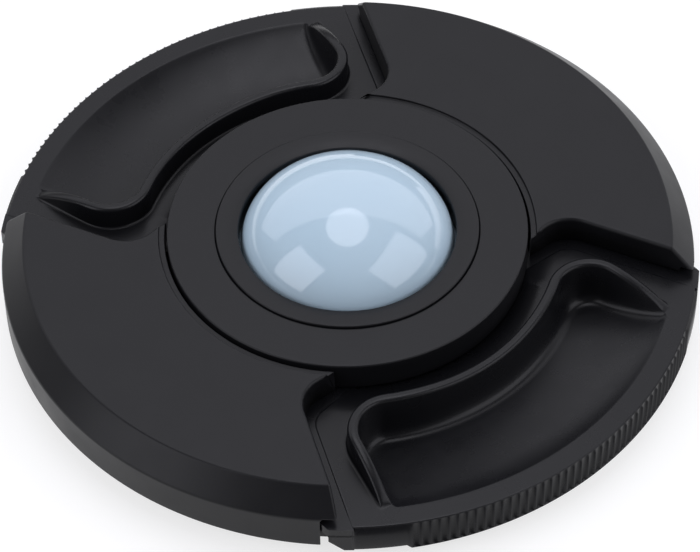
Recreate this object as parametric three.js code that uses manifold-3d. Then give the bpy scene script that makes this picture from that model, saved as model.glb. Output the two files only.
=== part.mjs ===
// Centre-pinch lens cap with a diffuser dome for setting white balance.
// Millimetres, +Z out of the front face, X along the pinch line of the two levers.
// Z = 0 is the plane the cap rests on when it lies face up.

import * as THREE from 'three';
import { mergeVertices } from 'three/addons/utils/BufferGeometryUtils.js';
import Module from 'manifold-3d';

const wasm = await Module();
wasm.setup();

// ---- driving dimensions -----------------------------------------------------------------

const CAP_RADIUS = 40.0; // outside of the cover, a cap for a 77 mm filter thread
const PLUG_DEPTH = 2.6; // how far the back reaches into the filter ring
const PLUG_RADIUS = 37.6;
const COVER_HEIGHT = 7.3; // rim face to flat front face
const SIDE_HEIGHT = 4.4; // upright part of the cover's side
const CHAMFER_WIDTH = 2.7;
const WALL = 1.5; // outer skins
const RIB = 1.2; // inner walls and ribs
const FIT = 0.3; // clearance between neighbouring pieces

const LEVER_RADIUS = 40.6;
const LEVER_HEIGHT = 3.6; // rim face to the lever's flat top
const LEVER_PLATE = 1.3;
const LEVER_END = 28.05; // half the chord where the lever's side wall ends
const LIP_HEIGHT = 3.0; // raised bead around the finger well
const LIP_WIDTH = 1.25;
const KNURL_COUNT = 42;
const KNURL_PITCH = 1.48; // degrees
const KNURL_DEPTH = 0.3;
const KNURL_DROP = 0.6; // the knurled wall hangs this far below the rim face
const KNURL_FOOT = 0.3; // plain edge below the grooves

const RING_RADIUS = 20.8;
const RING_PROUD = 0.24; // ring face above the cover face
const CUTOUT_RADIUS = 21.05;
const RECESS_RADIUS = 21.75; // shallow step in the cover round the ring
const RECESS_DEPTH = 0.3;
const COLLAR_RADIUS = 15.1;
const COLLAR_PROUD = 0.5;
const OPENING_RADIUS = 12.55;
const BAYONET_TURN = 30; // degrees from locked to free

const DOME_RADIUS = 12.2; // half the width of the flattened dome
const DOME_RISE = 8.1; // half its height
const DOME_WALL = 1.2;
const DOME_CENTRE = 7.8; // height of its centre

const SPRING_RADIUS = 1.75; // mean coil radius
const SPRING_WIRE = 0.22; // wire radius
const SPRING_TURNS = 5;
const SPRING_Y = 26.6;
const SPRING_Z = 5.3;
const ANCHOR_FACE = 5.8; // x of the fixed rib that each spring leans on
const TAB_FACE = 15.9; // x of the lever's spring tab at rest

const SCREW_X = 8.0;
const SCREW_Y = 32.8;

const ROUND = 72; // facets of a full turn

// ---- levels that follow from them -------------------------------------------------------

const RIM_Z = PLUG_DEPTH;
const COVER_Z = RIM_Z + COVER_HEIGHT;
const CHAMFER_Z = RIM_Z + SIDE_HEIGHT;
const PLATE_Z = RIM_Z + LEVER_HEIGHT;
const LIP_Z = PLATE_Z + LIP_HEIGHT;
const RING_Z = COVER_Z + RING_PROUD;
const COLLAR_Z = COVER_Z + COLLAR_PROUD;
const CEILING_Z = COVER_Z - WALL; // underside of the cover's face
const SLIDE_Z = PLATE_Z + FIT; // underside of what the lever slides below
const HUB_TOP = PLATE_Z - LEVER_PLATE - FIT - 0.1;
const HUB_BOTTOM = HUB_TOP - 1.4;
const BACK_TOP = RIM_Z - FIT;
const BACK_BOTTOM = BACK_TOP - 1.1;
const FAR = 60; // reaches past the whole cap

const rad = THREE.MathUtils.degToRad;

// ---- solids -----------------------------------------------------------------------------

function toSolid(geometry) {
  const bare = geometry.clone();
  bare.deleteAttribute('normal');
  bare.deleteAttribute('uv');
  const merged = mergeVertices(bare, 1e-4);
  const position = merged.getAttribute('position').array;
  const index = merged.getIndex().array;
  const corner = [new THREE.Vector3(), new THREE.Vector3(), new THREE.Vector3()];
  const kept = [];
  let volume = 0;
  for (let i = 0; i < index.length; i += 3) {
    const [a, b, c] = [index[i], index[i + 1], index[i + 2]];
    if (a === b || b === c || c === a) continue;
    kept.push(a, b, c);
    [a, b, c].forEach((at, k) => corner[k].fromArray(position, at * 3));
    volume += corner[0].dot(corner[1].clone().cross(corner[2]));
  }
  if (volume < 0) kept.reverse();
  const mesh = new wasm.Mesh({
    numProp: 3,
    vertProperties: new Float32Array(position),
    triVerts: new Uint32Array(kept),
  });
  return new wasm.Manifold(mesh);
}

function toGeometry(solid) {
  const mesh = solid.getMesh();
  const geometry = new THREE.BufferGeometry();
  geometry.setAttribute('position', new THREE.BufferAttribute(mesh.vertProperties, 3));
  geometry.setIndex(new THREE.BufferAttribute(mesh.triVerts, 1));
  const flat = geometry.toNonIndexed();
  flat.computeVertexNormals();
  return flat;
}

// Profile of [radius, height] pairs, turned about Z.
function revolve(profile, facets = ROUND) {
  const closed = [...profile, profile[0]].map(([r, z]) => new THREE.Vector2(r, z));
  const geometry = new THREE.LatheGeometry(closed, facets);
  geometry.rotateX(Math.PI / 2);
  return toSolid(geometry);
}

// Outline of [x, y] pairs, pulled up from one height to another.
function pullUp(outline, from, to) {
  const shape = new THREE.Shape(outline.map(([x, y]) => new THREE.Vector2(x, y)));
  const geometry = new THREE.ExtrudeGeometry(shape, { depth: to - from, bevelEnabled: false });
  geometry.translate(0, 0, from);
  return toSolid(geometry);
}

// Outline of [x, z] pairs, pulled along Y to both sides.
function pullAcross(outline, halfWidth) {
  const shape = new THREE.Shape(outline.map(([x, z]) => new THREE.Vector2(x, z)));
  const geometry = new THREE.ExtrudeGeometry(shape, { depth: 2 * halfWidth, bevelEnabled: false });
  geometry.translate(0, 0, -halfWidth);
  geometry.rotateX(Math.PI / 2);
  return toSolid(geometry);
}

function block([x0, x1], [y0, y1], [z0, z1]) {
  const geometry = new THREE.BoxGeometry(x1 - x0, y1 - y0, z1 - z0);
  geometry.translate((x0 + x1) / 2, (y0 + y1) / 2, (z0 + z1) / 2);
  return toSolid(geometry);
}

function post(radius, x, y, from, to, facets = 20) {
  const geometry = new THREE.CylinderGeometry(radius, radius, to - from, facets);
  geometry.rotateX(Math.PI / 2);
  geometry.translate(x, y, (from + to) / 2);
  return toSolid(geometry);
}

function pinAlongX(radius, from, to, y, z) {
  const geometry = new THREE.CylinderGeometry(radius, radius, to - from, 14);
  geometry.rotateZ(Math.PI / 2);
  geometry.translate((from + to) / 2, y, z);
  return toSolid(geometry);
}

function arc([cx, cy], radius, fromDegrees, toDegrees, steps) {
  return Array.from({ length: steps + 1 }, (_, i) => {
    const angle = rad(fromDegrees + ((toDegrees - fromDegrees) * i) / steps);
    return [cx + radius * Math.cos(angle), cy + radius * Math.sin(angle)];
  });
}

// Part of a flat ring between two angles.
function wedge(inner, outer, fromDegrees, toDegrees, from, to) {
  const steps = Math.max(2, Math.round(Math.abs(toDegrees - fromDegrees) / 4));
  const [first, last] = [Math.min(fromDegrees, toDegrees), Math.max(fromDegrees, toDegrees)];
  const outline = [
    ...arc([0, 0], outer, first, last, steps),
    ...arc([0, 0], inner, last, first, steps),
  ];
  return pullUp(outline, from, to);
}

// Upper half of a symmetrical outline, closed with its mirror image.
function mirrored(half) {
  const below = half.map(([x, y]) => [x, -y]).reverse();
  return [...half, ...below];
}

function turned(solid, degrees) {
  return solid.rotate([0, 0, degrees]);
}

function bothSides(solid) {
  return solid.add(turned(solid, 180));
}

function fourCorners(make) {
  return [1, -1].flatMap((sx) => [1, -1].map((sy) => make(sx, sy))).reduce((a, b) => a.add(b));
}

function span(sign, near, far) {
  return sign > 0 ? [near, far] : [-far, -near];
}

// ---- pocket in the cover that a lever lies in -------------------------------------------

const POCKET_ANGLE = 25.2; // degrees between the pocket's end edge and the pinch line
const POCKET_CORNER = [18.85, 17.49];
const POCKET_FILLET = 4.0;

// The pocket on the +X side. grow moves its edges outwards.
function pocketOutline(grow) {
  const radius = POCKET_FILLET + grow;
  const corner = arc(POCKET_CORNER, radius, 90 + POCKET_ANGLE, 190, 9);
  const [x, y] = corner[0];
  const slope = Math.tan(rad(POCKET_ANGLE));
  return mirrored([[FAR, y + (FAR - x) * slope], ...corner]).reverse();
}

// ---- finger well in a lever -------------------------------------------------------------

const WELL_INNER = 24.1 + LIP_WIDTH;
const WELL_OUTER = 38.3;
const WELL_CORNER = [24.9, 15.05];
const WELL_FILLET = 5.0 - LIP_WIDTH;
const LEG_ANGLE = 15.6; // degrees between the well's end and the pinch line
const FLOOR_Z = RIM_Z + 1.0; // lowest part of the well's floor
const FLOOR_START = 25.8;
const FLOOR_CURVE = 2.2;
const FLOOR_WALL = 1.0;

// The well in plan. grow moves every edge outwards, outer sets the rim side.
function wellOutline(grow, outer) {
  const [cx, cy] = WELL_CORNER;
  const bearing = THREE.MathUtils.radToDeg(Math.atan2(cy, cx));
  const inner = arc([0, 0], WELL_INNER - grow, 0, bearing, 5);
  const fillet = arc(WELL_CORNER, WELL_FILLET + grow, 180 + bearing, 90 + LEG_ANGLE, 8);
  const [tx, ty] = fillet[fillet.length - 1];
  const [dx, dy] = [Math.cos(rad(LEG_ANGLE)), Math.sin(rad(LEG_ANGLE))];
  const along = tx * dx + ty * dy;
  const reach = -along + Math.sqrt(along * along - tx * tx - ty * ty + outer * outer);
  const end = [tx + reach * dx, ty + reach * dy];
  const endBearing = THREE.MathUtils.radToDeg(Math.atan2(end[1], end[0]));
  const rim = arc([0, 0], outer, endBearing, 0, 6);
  const half = [...inner, ...fillet, ...rim];
  return mirrored(half);
}

function floorHeight(radius) {
  const share = Math.max(0, (radius - FLOOR_START) / (WELL_OUTER - FLOOR_START));
  return FLOOR_Z + (PLATE_Z - FLOOR_Z) * share ** FLOOR_CURVE;
}

// Everything above the well's floor, lowered by drop, between two radii.
function aboveFloor(inner, outer, drop) {
  const steps = 8;
  const floor = Array.from({ length: steps + 1 }, (_, i) => {
    const radius = FLOOR_START + ((outer - FLOOR_START) * i) / steps;
    return [radius, floorHeight(radius) - drop];
  });
  return revolve([[inner, FLOOR_Z - drop], ...floor, [outer, FAR], [inner, FAR]]);
}

// The bead is full height on the inner side and runs out towards the rim.
function underBead() {
  const start = 22;
  const end = 31.6;
  const steps = 7;
  const crest = Array.from({ length: steps + 1 }, (_, i) => {
    const share = i / steps;
    return [start + (end - start) * share, LIP_Z - LIP_HEIGHT * share ** FLOOR_CURVE];
  });
  return pullAcross([[0, 0], [0, LIP_Z], ...crest, [FAR, PLATE_Z], [FAR, 0]], FAR);
}

// ---- pieces -----------------------------------------------------------------------------

const ANCHOR_WALL = 1.2;
const HUB_BORE = 17.0;
const HUB_RADIUS = 21.0;
const HUB_WALL_FROM = 62; // degrees, where the hub joins the cover's face
const BOSS_RADIUS = 2.2;
const SCREW_BORE = 0.95;
const PIN_RADIUS = 1.1;
const PIN_LENGTH = 3.0;
const SIDE_END = 28.4; // half the chord where the cover's side wall ends

function makeCover() {
  const outer = revolve([
    [0, RIM_Z],
    [CAP_RADIUS, RIM_Z],
    [CAP_RADIUS, CHAMFER_Z],
    [CAP_RADIUS - CHAMFER_WIDTH, COVER_Z],
    [0, COVER_Z],
  ]);
  const inside = CAP_RADIUS - WALL;
  const lowerRoom = post(inside, 0, 0, 0, SLIDE_Z, ROUND);
  const upperRoom = revolve([
    [CUTOUT_RADIUS + WALL, SLIDE_Z - 0.1],
    [inside, SLIDE_Z - 0.1],
    [inside, CHAMFER_Z - 0.1],
    [inside - 1.9, CEILING_Z],
    [CUTOUT_RADIUS + WALL, CEILING_Z],
  ]).subtract(bothSides(pullUp(pocketOutline(RIB), 0, FAR)));
  const pockets = bothSides(pullUp(pocketOutline(0), 0, FAR));
  const sideEnds = wedgeRing().intersect(block([-FAR, FAR], [-SIDE_END, SIDE_END], [0, CHAMFER_Z]));
  const cutout = post(CUTOUT_RADIUS, 0, 0, 0, FAR, ROUND)
    .add(post(RECESS_RADIUS, 0, 0, COVER_Z - RECESS_DEPTH, FAR, ROUND));
  const lap = bothSides([1, -1]
    .map((sy) => wedge(CAP_RADIUS - WALL - 0.2, CAP_RADIUS - 0.7, sy * 42, sy * 48.5, 0, SLIDE_Z))
    .reduce((a, b) => a.add(b)));

  const hub = revolve([
    [HUB_BORE, HUB_BOTTOM],
    [HUB_RADIUS, HUB_BOTTOM],
    [HUB_RADIUS, HUB_TOP],
    [HUB_BORE, HUB_TOP],
  ]);
  const hubTo = 180 - HUB_WALL_FROM;
  const hubWall = CUTOUT_RADIUS + WALL;
  const bridge = wedge(HUB_RADIUS - 0.5, hubWall, HUB_WALL_FROM, hubTo, HUB_BOTTOM, HUB_TOP);
  const riser = wedge(CUTOUT_RADIUS, hubWall, HUB_WALL_FROM, hubTo, HUB_TOP - 0.1, CEILING_Z + 0.2);

  const bosses = fourCorners((sx, sy) =>
    post(BOSS_RADIUS, sx * SCREW_X, sy * SCREW_Y, RIM_Z, CEILING_Z + 0.2));
  const bores = fourCorners((sx, sy) =>
    post(SCREW_BORE, sx * SCREW_X, sy * SCREW_Y, 0, CEILING_Z - 0.6, 12));
  const anchors = fourCorners((sx, sy) => {
    const wall = block(
      span(sx, ANCHOR_FACE - ANCHOR_WALL, ANCHOR_FACE),
      span(sy, SPRING_Y - 2.3, SPRING_Y + 2.3),
      [RIM_Z, CEILING_Z + 0.2],
    );
    const [from, to] = span(sx, ANCHOR_FACE - 0.2, ANCHOR_FACE + PIN_LENGTH);
    return wall.add(pinAlongX(PIN_RADIUS, from, to, sy * SPRING_Y, SPRING_Z));
  });
  const stops = fourCorners((sx, sy) =>
    block(
      span(sx, TAB_FACE + 1.3 + FIT, TAB_FACE + 1.3 + FIT + RIB),
      span(sy, SPRING_Y - 2.2, SPRING_Y + 2.2),
      [SLIDE_Z, CEILING_Z + 0.2],
    ));

  return outer
    .subtract(pockets)
    .subtract(lowerRoom)
    .subtract(upperRoom)
    .subtract(sideEnds)
    .subtract(lap)
    .subtract(cutout)
    .add(hub)
    .add(bothSides(bridge.add(riser)))
    .add(bosses.add(anchors).add(stops))
    .subtract(bores);
}

// The ring of space that holds the cover's upright side wall.
function wedgeRing() {
  const inner = CAP_RADIUS - WALL - 0.1;
  return revolve([[inner, 0], [FAR, 0], [FAR, CHAMFER_Z], [inner, CHAMFER_Z]]);
}

const PLATE_INNER = 19.6;
const STRIP_DROP = 0.25; // the lever's ends are lower where they pass under the cover
const STRIP_WIDTH = 1.2;
const LATCH_HALF_ANGLE = 24;

function leverOutline() {
  const endBearing = THREE.MathUtils.radToDeg(Math.asin(LEVER_END / LEVER_RADIUS));
  return mirrored([
    ...arc([0, 0], PLATE_INNER, 0, 40, 8),
    [13.9, 14.3],
    [13.9, 20.3],
    [TAB_FACE, SPRING_Y - 2.2],
    [TAB_FACE, SPRING_Y + 2.2],
    [22.4, SPRING_Y + 2.2],
    [25.4, LEVER_END],
    ...arc([0, 0], LEVER_RADIUS, endBearing, 0, 10),
  ]);
}

function makeKnurlCutter() {
  const ridge = LEVER_RADIUS + 0.02;
  const groove = LEVER_RADIUS - KNURL_DEPTH;
  const first = (-KNURL_COUNT / 2) * KNURL_PITCH;
  const teeth = Array.from({ length: KNURL_COUNT }, (_, i) =>
    [[0, ridge], [0.3, groove], [0.7, groove]].map(([share, radius]) => {
      const angle = rad(first + (i + share) * KNURL_PITCH);
      return [radius * Math.cos(angle), radius * Math.sin(angle)];
    })).flat();
  const last = arc([0, 0], ridge, -first, -first, 1)[0];
  const outside = arc([0, 0], LEVER_RADIUS + 1, -first, first, 12);
  return pullUp([...teeth, last, ...outside], RIM_Z - KNURL_DROP + KNURL_FOOT, FAR);
}

function makeLever() {
  const outline = leverOutline();
  const plateBottom = PLATE_Z - LEVER_PLATE;
  const stripZ = PLATE_Z - STRIP_DROP;
  const shown = pullUp(pocketOutline(-STRIP_WIDTH), 0, FAR);
  const plate = pullUp(outline, plateBottom, stripZ)
    .add(pullUp(outline, stripZ - 0.1, PLATE_Z).intersect(shown));

  const tub = pullUp(wellOutline(LIP_WIDTH, LEVER_RADIUS - 0.6), 0, FAR)
    .intersect(aboveFloor(20, LEVER_RADIUS - 0.6, FLOOR_WALL))
    .intersect(underBead());
  const beyond = WELL_OUTER + 0.6;
  const well = pullUp(wellOutline(0, beyond), 0, FAR).intersect(aboveFloor(20, beyond, 0));

  const ends = block([0, FAR], [-LEVER_END, LEVER_END], [0, FAR]);
  const side = revolve([
    [LEVER_RADIUS - 1.4, RIM_Z],
    [LEVER_RADIUS, RIM_Z],
    [LEVER_RADIUS, PLATE_Z - 0.4],
    [LEVER_RADIUS - 1.4, PLATE_Z - 0.4],
  ]).intersect(ends);
  const half = (KNURL_COUNT * KNURL_PITCH) / 2;
  const grip = wedge(LEVER_RADIUS - 1.4, LEVER_RADIUS, -half, half, RIM_Z - KNURL_DROP, RIM_Z + 0.2);
  const notch = makeNotchCutter();
  const tongues = [1, -1].map((sy) =>
    wedge(CAP_RADIUS - 1.8, CAP_RADIUS - 1.0, sy * 40, sy * 46.8, RIM_Z + 0.3, PLATE_Z - 0.6));

  const latch = revolve([
    [36.3, 0.3],
    [37.4, 0.3],
    [38.4, 0.8],
    [38.4, 1.1],
    [37.8, 1.35],
    [38.4, 1.7],
    [38.4, 2.0],
    [37.7, 2.4],
    [37.7, 5.0],
    [36.3, 5.0],
  ]).intersect(wedge(30, 45, -LATCH_HALF_ANGLE, LATCH_HALF_ANGLE, 0, FAR));

  const tabs = [1, -1].map((sy) => {
    const wall = block(
      [TAB_FACE, TAB_FACE + 1.3],
      span(sy, SPRING_Y - 2.2, SPRING_Y + 2.2),
      [BACK_TOP + 0.5, CEILING_Z - 0.4],
    );
    return wall.add(pinAlongX(PIN_RADIUS, TAB_FACE - PIN_LENGTH, TAB_FACE + 0.2, sy * SPRING_Y, SPRING_Z));
  });

  return plate
    .add(side)
    .add(grip)
    .add(tub)
    .add(latch)
    .add(tabs[0])
    .add(tabs[1])
    .subtract(well)
    .subtract(notch)
    .subtract(makeKnurlCutter())
    .add(tongues[0])
    .add(tongues[1]);
}

// Cuts off the lower corners of the lever's side wall.
function makeNotchCutter() {
  const size = 1.2;
  const corner = block([26, FAR], [-size, size], [-size, size]).rotate([45, 0, 0]);
  return corner.translate([0, LEVER_END, RIM_Z]).add(corner.translate([0, -LEVER_END, RIM_Z]));
}

const TUBE_BORE = 14.55;
const TUBE_RADIUS = 16.4;
const LEDGE_RADIUS = 12.9;
const LEDGE_TOP = RIM_Z + 0.4;
const SHOULDER_Z = COVER_Z - 0.8;
const SKIRT_RADIUS = 14.25;
const LUG_RADIUS = 14.95;
const LUG_Z = [6.3, 6.9];
const LUG_HALF = 5; // degrees
const LUG_COUNT = 3;

function makeRing() {
  const body = revolve([
    [LEDGE_RADIUS, RIM_Z],
    [TUBE_RADIUS, RIM_Z],
    [TUBE_RADIUS, RING_Z - 1.6],
    [RING_RADIUS - 1.3, RING_Z - 1.6],
    [RING_RADIUS - 1.3, SLIDE_Z],
    [RING_RADIUS, SLIDE_Z],
    [RING_RADIUS, RING_Z],
    [COLLAR_RADIUS + 0.25, RING_Z],
    [COLLAR_RADIUS + 0.25, SHOULDER_Z],
    [TUBE_BORE, SHOULDER_Z],
    [TUBE_BORE, LEDGE_TOP],
    [LEDGE_RADIUS, LEDGE_TOP],
  ]);
  const half = LUG_HALF + 2;
  const [low, high] = [LUG_Z[0] - 0.3, LUG_Z[1] + 0.3];
  const reach = LUG_RADIUS + 0.25;
  const groove = wedge(TUBE_BORE - 0.5, reach, -half, BAYONET_TURN + half, low, high);
  const entry = wedge(TUBE_BORE - 0.5, reach, BAYONET_TURN - half, BAYONET_TURN + half, low, SHOULDER_Z + 0.1);
  const lock = groove.add(entry);
  let ring = body;
  for (let i = 0; i < LUG_COUNT; i += 1) {
    ring = ring.subtract(turned(lock, (i * 360) / LUG_COUNT));
  }
  return ring;
}

function makeCollar() {
  let collar = revolve([
    [13.2, 5.2],
    [SKIRT_RADIUS, 5.2],
    [SKIRT_RADIUS, SHOULDER_Z + FIT],
    [COLLAR_RADIUS, SHOULDER_Z + FIT],
    [COLLAR_RADIUS, COLLAR_Z],
    [13.5, COLLAR_Z],
    [OPENING_RADIUS, COLLAR_Z - 0.2],
    [OPENING_RADIUS, SHOULDER_Z + 0.2],
    [13.2, SHOULDER_Z - 0.4],
  ], 60);
  const lug = wedge(SKIRT_RADIUS - 0.4, LUG_RADIUS, -LUG_HALF, LUG_HALF, LUG_Z[0], LUG_Z[1]);
  for (let i = 0; i < LUG_COUNT; i += 1) {
    collar = collar.add(turned(lug, (i * 360) / LUG_COUNT));
  }
  return collar;
}

const DOME_FLANGE = 14.2;
const DOME_BOTTOM = 4.2;
const DOME_FLANGE_TOP = 5.0;

// From the dome's widest level up to its crown.
function halfOval(width, rise, steps) {
  return Array.from({ length: steps + 1 }, (_, i) => {
    const angle = rad((90 * i) / steps);
    return [i === steps ? 0 : width * Math.cos(angle), DOME_CENTRE + rise * Math.sin(angle)];
  });
}

function makeDome() {
  const outside = halfOval(DOME_RADIUS, DOME_RISE, 11);
  const inside = halfOval(DOME_RADIUS - DOME_WALL, DOME_RISE - DOME_WALL, 9).reverse();
  return revolve([
    [DOME_RADIUS - DOME_WALL, DOME_BOTTOM],
    [DOME_FLANGE, DOME_BOTTOM],
    [DOME_FLANGE, DOME_FLANGE_TOP],
    [DOME_RADIUS, DOME_FLANGE_TOP],
    ...outside,
    ...inside,
  ], 48);
}

function makeDisc(radius, from, to) {
  return post(radius, 0, 0, from, to, 48);
}

function makeWasher(inner, outer, from, to) {
  return revolve([[inner, from], [outer, from], [outer, to], [inner, to]], 48);
}

const DIFFUSER_RADIUS = 14.7;
const BACK_CENTRE_Z = 0.3;
const PLUG_HALF_ANGLE = 38; // degrees either side of Y

function makeBackPlate() {
  const ledge = BACK_TOP - 0.4;
  const recess = DIFFUSER_RADIUS + 0.3;
  const disc = revolve([
    [LEDGE_RADIUS, ledge],
    [recess, ledge],
    [recess, BACK_CENTRE_Z],
    [recess + 1.4, BACK_CENTRE_Z],
    [recess + 1.4, BACK_BOTTOM],
    [33.5, BACK_BOTTOM],
    [33.5, BACK_TOP],
    [LEDGE_RADIUS, BACK_TOP],
  ]);
  const [from, to] = [90 - PLUG_HALF_ANGLE, 90 + PLUG_HALF_ANGLE];
  const flange = wedge(33, PLUG_RADIUS, from, to, BACK_BOTTOM, BACK_TOP);
  const plug = wedge(PLUG_RADIUS - 1.4, PLUG_RADIUS, from, to, 0, BACK_BOTTOM + 0.1);
  const holes = fourCorners((sx, sy) => post(1.0, sx * SCREW_X, sy * SCREW_Y, 0, FAR, 12));
  return disc.add(bothSides(flange.add(plug))).subtract(holes);
}

function makeScrew() {
  return post(1.7, 0, 0, 0, 0.65, 16).add(post(0.75, 0, 0, 0.6, 5.9, 10));
}

class Coil extends THREE.Curve {
  constructor(length) {
    super();
    this.length = length;
  }

  getPoint(share, target = new THREE.Vector3()) {
    const angle = share * SPRING_TURNS * 2 * Math.PI;
    return target.set(this.length * share, SPRING_RADIUS * Math.cos(angle), SPRING_RADIUS * Math.sin(angle));
  }
}

function makeSpring() {
  const clear = 0.15;
  const length = TAB_FACE - ANCHOR_FACE - 2 * (clear + SPRING_WIRE);
  const wire = new THREE.Shape(arc([0, 0], SPRING_WIRE, 0, 288, 4).map(([x, y]) => new THREE.Vector2(x, y)));
  const geometry = new THREE.ExtrudeGeometry(wire, {
    steps: SPRING_TURNS * 9,
    bevelEnabled: false,
    extrudePath: new Coil(length),
  });
  geometry.translate(ANCHOR_FACE + clear + SPRING_WIRE, 0, 0);
  return toSolid(geometry);
}

// ---- assembly ---------------------------------------------------------------------------

const FINISH = {
  blackPlastic: { color: 0x2f3034, roughness: 0.55, metalness: 0 },
  leverPlastic: { color: 0x2c2d31, roughness: 0.5, metalness: 0 },
  dome: { color: 0xa9c8e6, roughness: 0.12, metalness: 0 },
  filter: { color: 0x7fa9d8, roughness: 0.2, metalness: 0 },
  milky: { color: 0xe9ecef, roughness: 0.35, metalness: 0 },
  rubber: { color: 0x1c1c1c, roughness: 0.9, metalness: 0 },
  steel: { color: 0xb9bcc0, roughness: 0.3, metalness: 1 },
};

function piece(name, solid, finish) {
  const mesh = new THREE.Mesh(toGeometry(solid), new THREE.MeshStandardMaterial(FINISH[finish]));
  mesh.name = name;
  return mesh;
}

const cap = new THREE.Group();

cap.add(piece('front_cover', makeCover(), 'blackPlastic'));

const lever = makeLever();
for (const [name, turn] of [['pinch_lever_right', 0], ['pinch_lever_left', Math.PI]]) {
  const mesh = piece(name, lever, 'leverPlastic');
  mesh.rotation.z = turn;
  cap.add(mesh);
}

cap.add(piece('centre_ring', makeRing(), 'blackPlastic'));
cap.add(piece('dome_collar', makeCollar(), 'blackPlastic'));
cap.add(piece('diffuser_dome', makeDome(), 'dome'));
cap.add(piece('dome_washer', makeWasher(LEDGE_RADIUS, DOME_FLANGE, 3.7, 4.05), 'rubber'));
cap.add(piece('colour_filter', makeDisc(DOME_FLANGE, LEDGE_TOP + 0.15, 3.55), 'filter'));
cap.add(piece('back_plate', makeBackPlate(), 'blackPlastic'));
cap.add(piece('rear_diffuser', makeDisc(DIFFUSER_RADIUS, 1.1, 1.65), 'milky'));
cap.add(piece('rear_retaining_ring', makeWasher(12.6, DIFFUSER_RADIUS, BACK_CENTRE_Z, 0.85), 'blackPlastic'));

const spring = makeSpring();
const screw = makeScrew();
const corners = [
  ['right_upper', 1, 1],
  ['right_lower', 1, -1],
  ['left_upper', -1, 1],
  ['left_lower', -1, -1],
];
for (const [place, sx, sy] of corners) {
  const coil = piece(`spring_${place}`, spring, 'steel');
  coil.rotation.z = sx > 0 ? 0 : Math.PI;
  coil.position.set(0, sy * SPRING_Y, SPRING_Z);
  cap.add(coil);

  const fastener = piece(`screw_${place}`, screw, 'steel');
  fastener.position.set(sx * SCREW_X, sy * SCREW_Y, 0.35);
  cap.add(fastener);
}

export default cap;
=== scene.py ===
from math import atan2, cos, degrees, hypot, pi, radians, sin, sqrt, tan

import bmesh
import bpy
from mathutils import Matrix, Vector


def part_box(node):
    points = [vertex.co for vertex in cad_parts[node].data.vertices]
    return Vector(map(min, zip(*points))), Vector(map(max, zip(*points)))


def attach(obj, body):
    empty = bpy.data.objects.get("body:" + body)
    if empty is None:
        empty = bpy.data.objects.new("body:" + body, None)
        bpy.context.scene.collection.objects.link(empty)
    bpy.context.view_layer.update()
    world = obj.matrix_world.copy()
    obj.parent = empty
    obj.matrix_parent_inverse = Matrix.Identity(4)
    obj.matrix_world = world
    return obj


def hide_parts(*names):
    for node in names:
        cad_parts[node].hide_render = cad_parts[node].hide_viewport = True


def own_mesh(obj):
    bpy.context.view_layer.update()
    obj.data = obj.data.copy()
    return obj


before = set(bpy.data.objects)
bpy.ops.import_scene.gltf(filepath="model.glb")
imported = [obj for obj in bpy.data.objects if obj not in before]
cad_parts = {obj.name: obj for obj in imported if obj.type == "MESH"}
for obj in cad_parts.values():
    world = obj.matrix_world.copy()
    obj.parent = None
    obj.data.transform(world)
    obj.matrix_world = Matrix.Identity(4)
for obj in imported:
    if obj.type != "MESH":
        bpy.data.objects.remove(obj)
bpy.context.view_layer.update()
MM = 0.001

# ---- levels and sizes in millimetres, in the CAD's frame --------------------------------

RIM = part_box("front_cover")[0][2] / MM
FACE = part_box("front_cover")[1][2] / MM
CHAMFER_START = RIM + 4.4
CHAMFER_WIDTH = 2.7
CAP_RADIUS = 40.0
PLATE = RIM + 3.6
PLATE_UNDER = PLATE - 1.3
LIP_HEIGHT = 3.0
LIP_WIDTH = 1.25
SLIDE = PLATE + 0.3
POCKET_ANGLE = 25.2
POCKET_CORNER = (18.85, 17.49)
POCKET_FILLET = 4.0
CUTOUT_RADIUS = 21.05
RECESS_RADIUS = 21.75
RECESS_DEPTH = 0.3
SIDE_END = 28.4
LEVER_RADIUS = 40.6
LEVER_END = 28.2
STRIP_DROP = 0.05
STRIP_WIDTH = 1.2
RING_TOP = FACE + 0.24
COLLAR_TOP = FACE + 0.5
FAR = 60.0  # beyond the object, for the shapes that cut it

# ---- mesh helpers -----------------------------------------------------------------------


def add_object(name, mesh):
    """A mesh as an object in the scene."""
    piece = bpy.data.objects.new(name, mesh)
    bpy.context.scene.collection.objects.link(piece)
    return piece


def from_faces(name, points, faces):
    """Points in millimetres and faces as an object, with normals facing out."""
    mesh = bpy.data.meshes.new(name)
    mesh.from_pydata([(x * MM, y * MM, z * MM) for x, y, z in points], [], faces)
    work = bmesh.new()
    work.from_mesh(mesh)
    bmesh.ops.remove_doubles(work, verts=work.verts, dist=1e-7)
    bmesh.ops.recalc_face_normals(work, faces=work.faces)
    work.to_mesh(mesh)
    work.free()
    for face in mesh.polygons:
        face.use_smooth = True
    return add_object(name, mesh)


def prism(name, outline, low, high):
    """An outline of (x, y) points pulled up from one height to another."""
    count = len(outline)
    points = [(x, y, low) for x, y in outline] + [(x, y, high) for x, y in outline]
    faces = [list(range(count))[::-1], list(range(count, 2 * count))]
    for i in range(count):
        after = (i + 1) % count
        faces.append([i, after, count + after, count + i])
    return from_faces(name, points, faces)


def lathe(name, profile, steps=192, start=0.0, turn=360.0):
    """A closed profile of (radius, height) points turned about Z, all round or part of the way."""
    whole = turn >= 360.0
    stations = steps if whole else steps + 1
    count = len(profile)
    points = []
    for i in range(stations):
        angle = radians(start + turn * i / steps)
        points += [(r * cos(angle), r * sin(angle), z) for r, z in profile]
    faces = []
    for i in range(steps):
        near = i * count
        far = ((i + 1) % stations) * count
        for k in range(count):
            after = (k + 1) % count
            faces.append([near + k, far + k, far + after, near + after])
    if not whole:
        faces.append(list(range(count)))
        faces.append([steps * count + k for k in range(count)][::-1])
    return from_faces(name, points, faces)


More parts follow.
